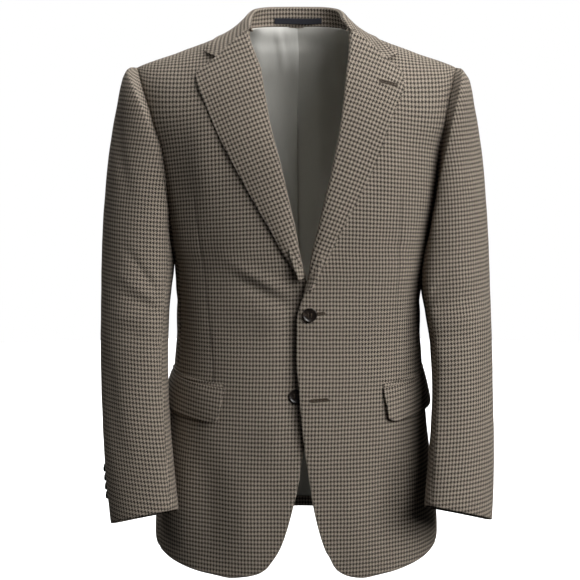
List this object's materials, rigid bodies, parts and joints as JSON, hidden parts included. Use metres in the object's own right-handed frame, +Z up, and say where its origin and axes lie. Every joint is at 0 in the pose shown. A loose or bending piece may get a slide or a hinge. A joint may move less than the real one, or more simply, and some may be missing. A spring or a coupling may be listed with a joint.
{
  "type": "tweed hacking jacket",
  "caption": "Two-button single-breasted tweed jacket with notched lapels and flap pockets, hollow and filled out as it is worn.",
  "frame": {"origin": "midway between the two neck points, where the shoulder seams meet the collar", "axes": "+X to the wearer's left, +Y to the wearer's back, +Z up; the fronts face -Y"},
  "size_m": [0.5703, 0.303, 0.8213],
  "materials": {
    "tweed": "small puppytooth check wool tweed, dark brown and beige, matt with a light nap",
    "lining": "grey satin lining with a soft sheen",
    "loop_tape": "plain dark navy woven tape",
    "button": "dark brown horn-effect button, four holes, semi-gloss"
  },
  "bodies": {
    "root": {"front_left": "tweed", "front_right": "tweed", "side_panel_left": "tweed", "side_panel_right": "tweed", "back_left": "tweed", "back_right": "tweed", "lapel_left": "tweed", "lapel_right": "tweed", "collar": "tweed", "top_sleeve_left": "tweed", "top_sleeve_right": "tweed", "under_sleeve_left": "tweed", "under_sleeve_right": "tweed", "pocket_flap_left": "tweed", "pocket_flap_right": "tweed", "jetting_left": "tweed", "jetting_right": "tweed", "back_lining_left": "lining", "back_lining_right": "lining", "hanger_loop": "loop_tape", "button_top": "button", "button_lower": "button", "cuff_button_left_1": "button", "cuff_button_left_2": "button", "cuff_button_left_3": "button", "cuff_button_left_4": "button", "cuff_button_right_1": "button", "cuff_button_right_2": "button", "cuff_button_right_3": "button", "cuff_button_right_4": "button"}
  },
  "joints": []
}
